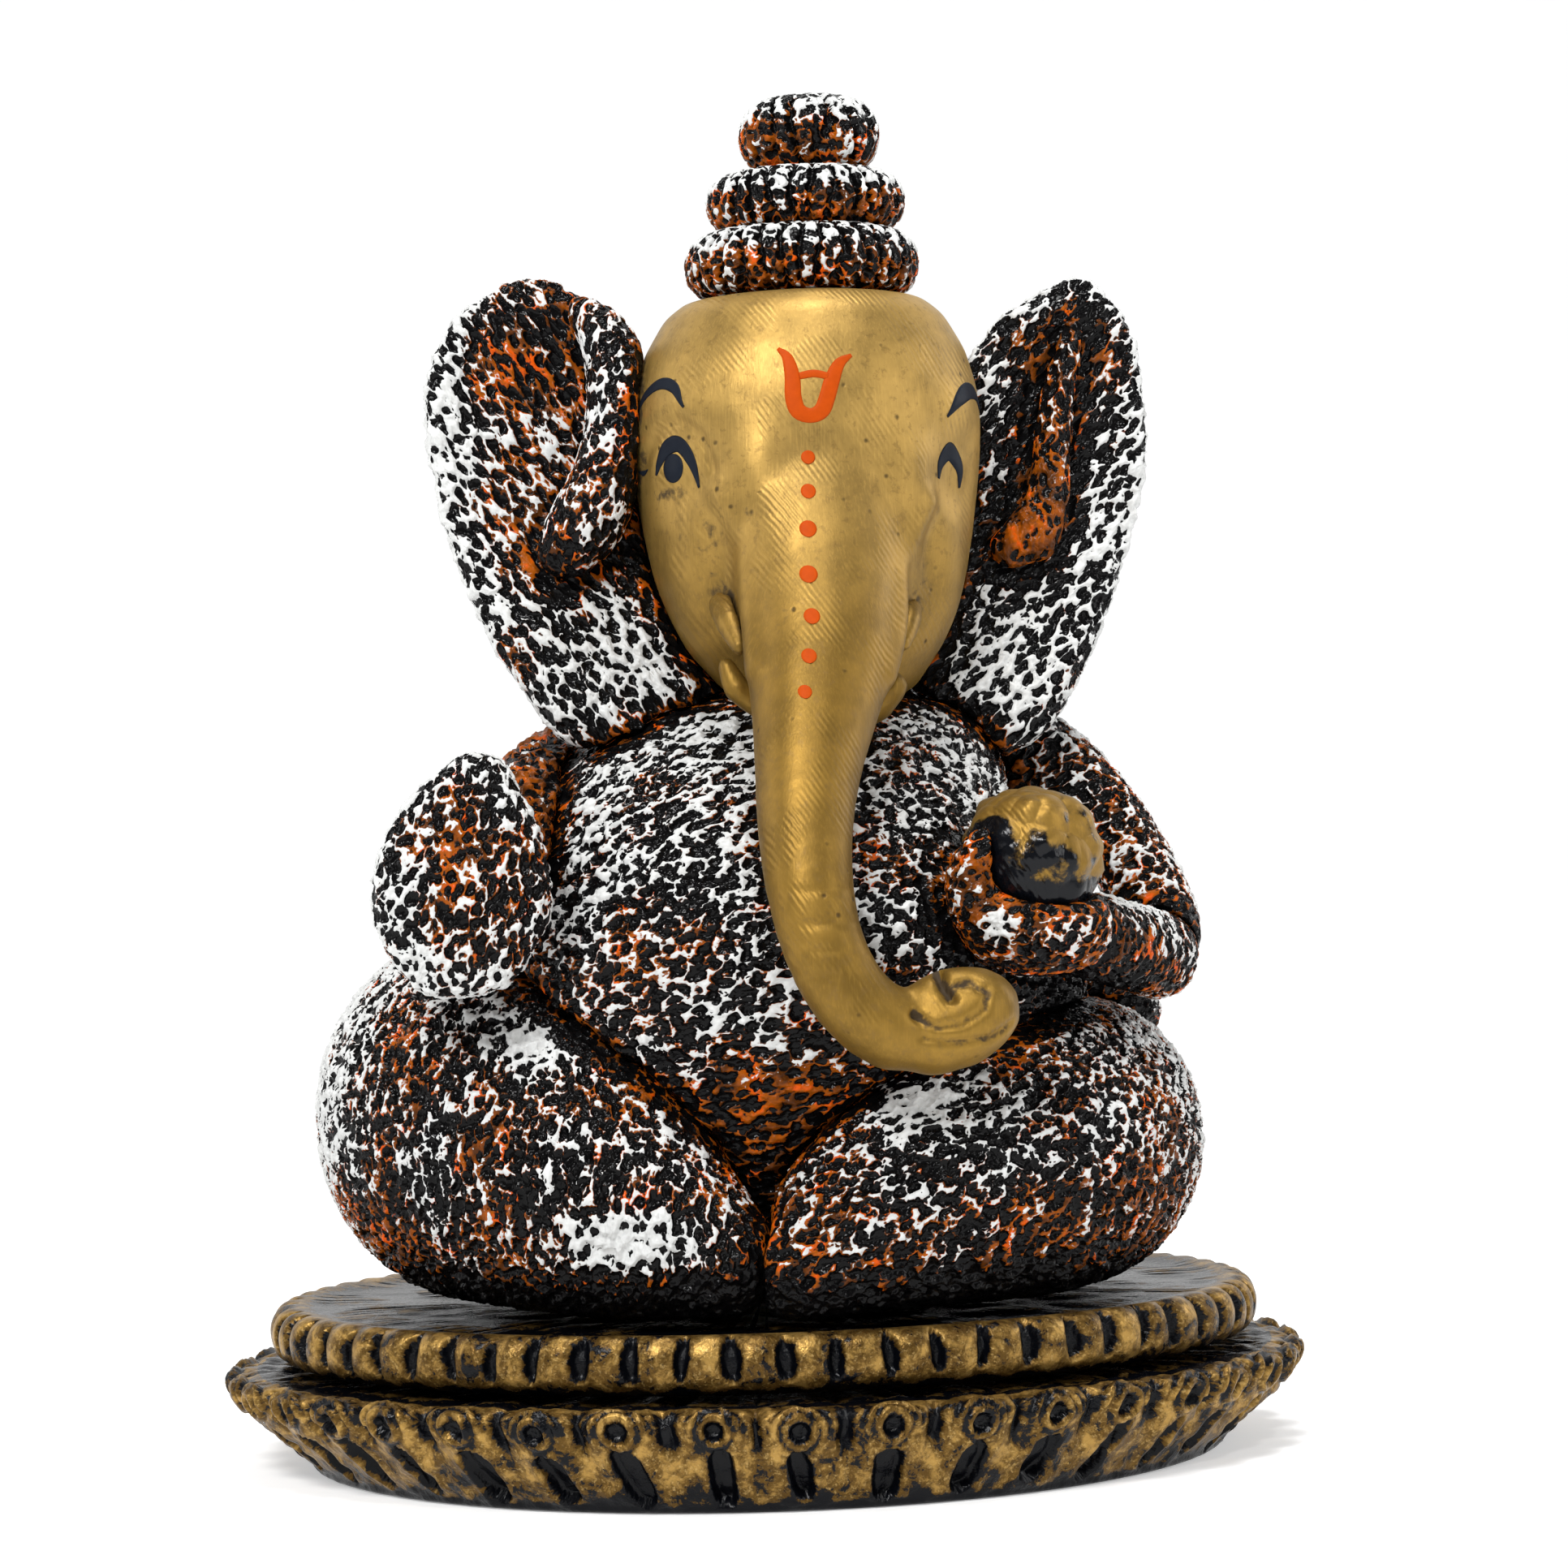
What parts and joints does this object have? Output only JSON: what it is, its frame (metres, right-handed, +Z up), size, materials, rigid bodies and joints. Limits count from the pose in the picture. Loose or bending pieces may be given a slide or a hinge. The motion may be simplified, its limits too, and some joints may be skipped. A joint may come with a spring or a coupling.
{
  "type": "seated elephant-headed idol",
  "caption": "Free-standing seated elephant-headed idol with a gilt face and trunk, pitted painted body, coiled crown, sweet ball in hand and a two-tier oval plinth.",
  "frame": {"origin": "centre of the plinth's underside", "axes": "+Z up along the figure's height, -Y towards the front (the way the face looks), +X towards the figure's left hand (the one that holds the sweet ball)"},
  "size_m": [0.16, 0.135, 0.199],
  "materials": {
    "pitted_paint": "pitted clay, gloss black with burnt orange, dry-brushed off-white on the ridges",
    "gold_paint": "smooth clay in satin antique gold paint",
    "plinth_gold": "carved clay, black in the recesses and antique gold on the high parts"
  },
  "bodies": {
    "root": {"torso": "pitted_paint", "right_leg": "pitted_paint", "left_leg": "pitted_paint", "right_arm": "pitted_paint", "right_palm": "pitted_paint", "left_upper_arm": "pitted_paint", "left_forearm": "pitted_paint", "left_hand": "pitted_paint", "head_core": "pitted_paint", "right_ear": "pitted_paint", "left_ear": "pitted_paint", "right_ear_fold": "pitted_paint", "left_ear_fold": "pitted_paint", "crown_lower_roll": "pitted_paint", "crown_middle_roll": "pitted_paint", "crown_top_knob": "pitted_paint", "face_mask": "gold_paint", "right_tusk": "gold_paint", "left_tusk": "gold_paint", "lower_lip": "gold_paint", "laddu": "gold_paint", "base_lower_tier": "plinth_gold", "base_upper_tier": "plinth_gold"}
  },
  "joints": []
}
